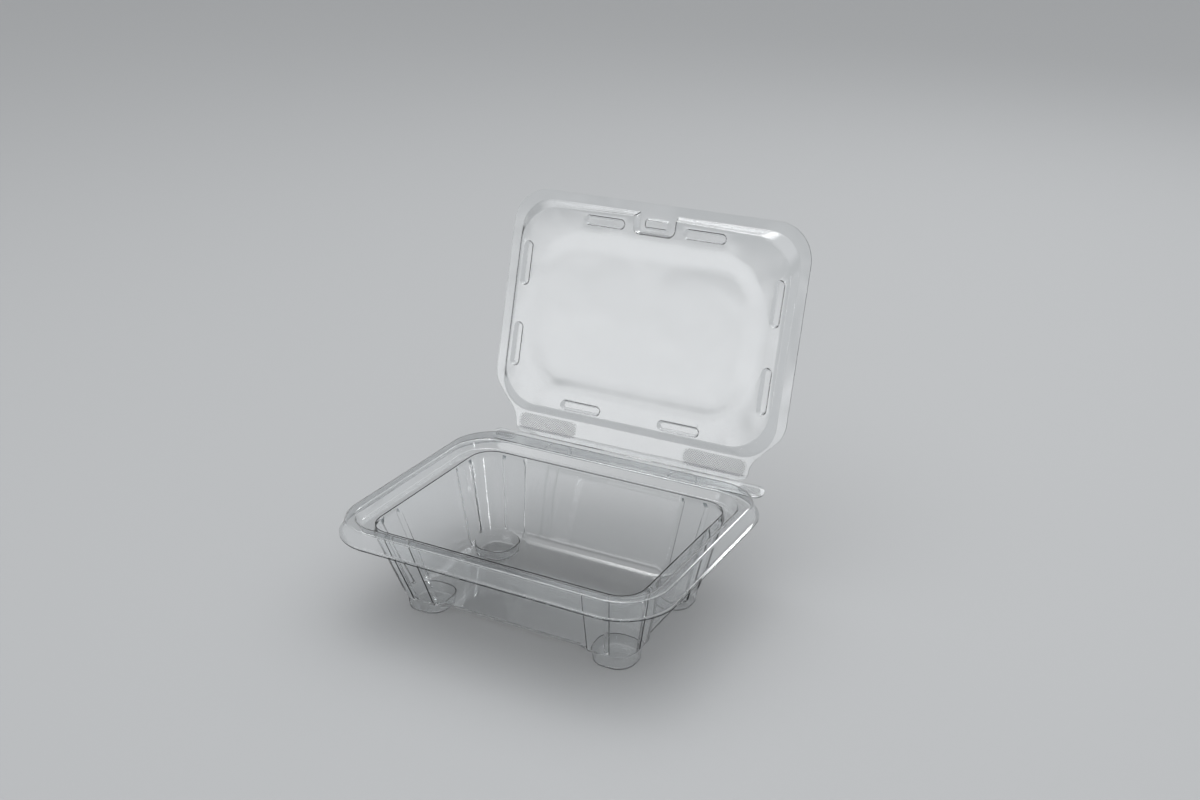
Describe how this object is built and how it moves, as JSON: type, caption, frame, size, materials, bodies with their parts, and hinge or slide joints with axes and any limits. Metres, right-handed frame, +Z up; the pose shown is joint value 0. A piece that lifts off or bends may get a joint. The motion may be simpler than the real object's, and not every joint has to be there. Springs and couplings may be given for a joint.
{
  "type": "hinged clear plastic food pack",
  "caption": "Clear thermoformed clamshell pack with a stepped tray on foot wells, a tear strip along the hinge and a lid that plugs into the rim, standing open.",
  "frame": {"origin": "on the table under the middle of the open pack's bounding box", "axes": "+X along the folds towards the right end of the tear strip, +Y from the front of the tray towards the hinge side, +Z up"},
  "size_m": [0.157, 0.1626, 0.1556],
  "materials": {
    "tray_sheet": "clear gloss",
    "strip_sheet": "clear gloss",
    "lid_sheet": "clear gloss"
  },
  "bodies": {
    "tray": {"tray": "tray_sheet"},
    "strip": {"tear_strip": "strip_sheet"},
    "lid": {"lid": "lid_sheet"}
  },
  "joints": [
    {"name": "strip_fold", "type": "hinge", "parent": "tray", "child": "strip", "pos_m": [0, 0.04143, 0.04025], "axis": [1, 0, 0], "range_deg": [-21, 89]},
    {"name": "lid_fold", "type": "hinge", "parent": "strip", "child": "lid", "pos_m": [0, 0.04878, 0.04307], "axis": [1, 0, 0], "range_deg": [-53, 17]}
  ]
}
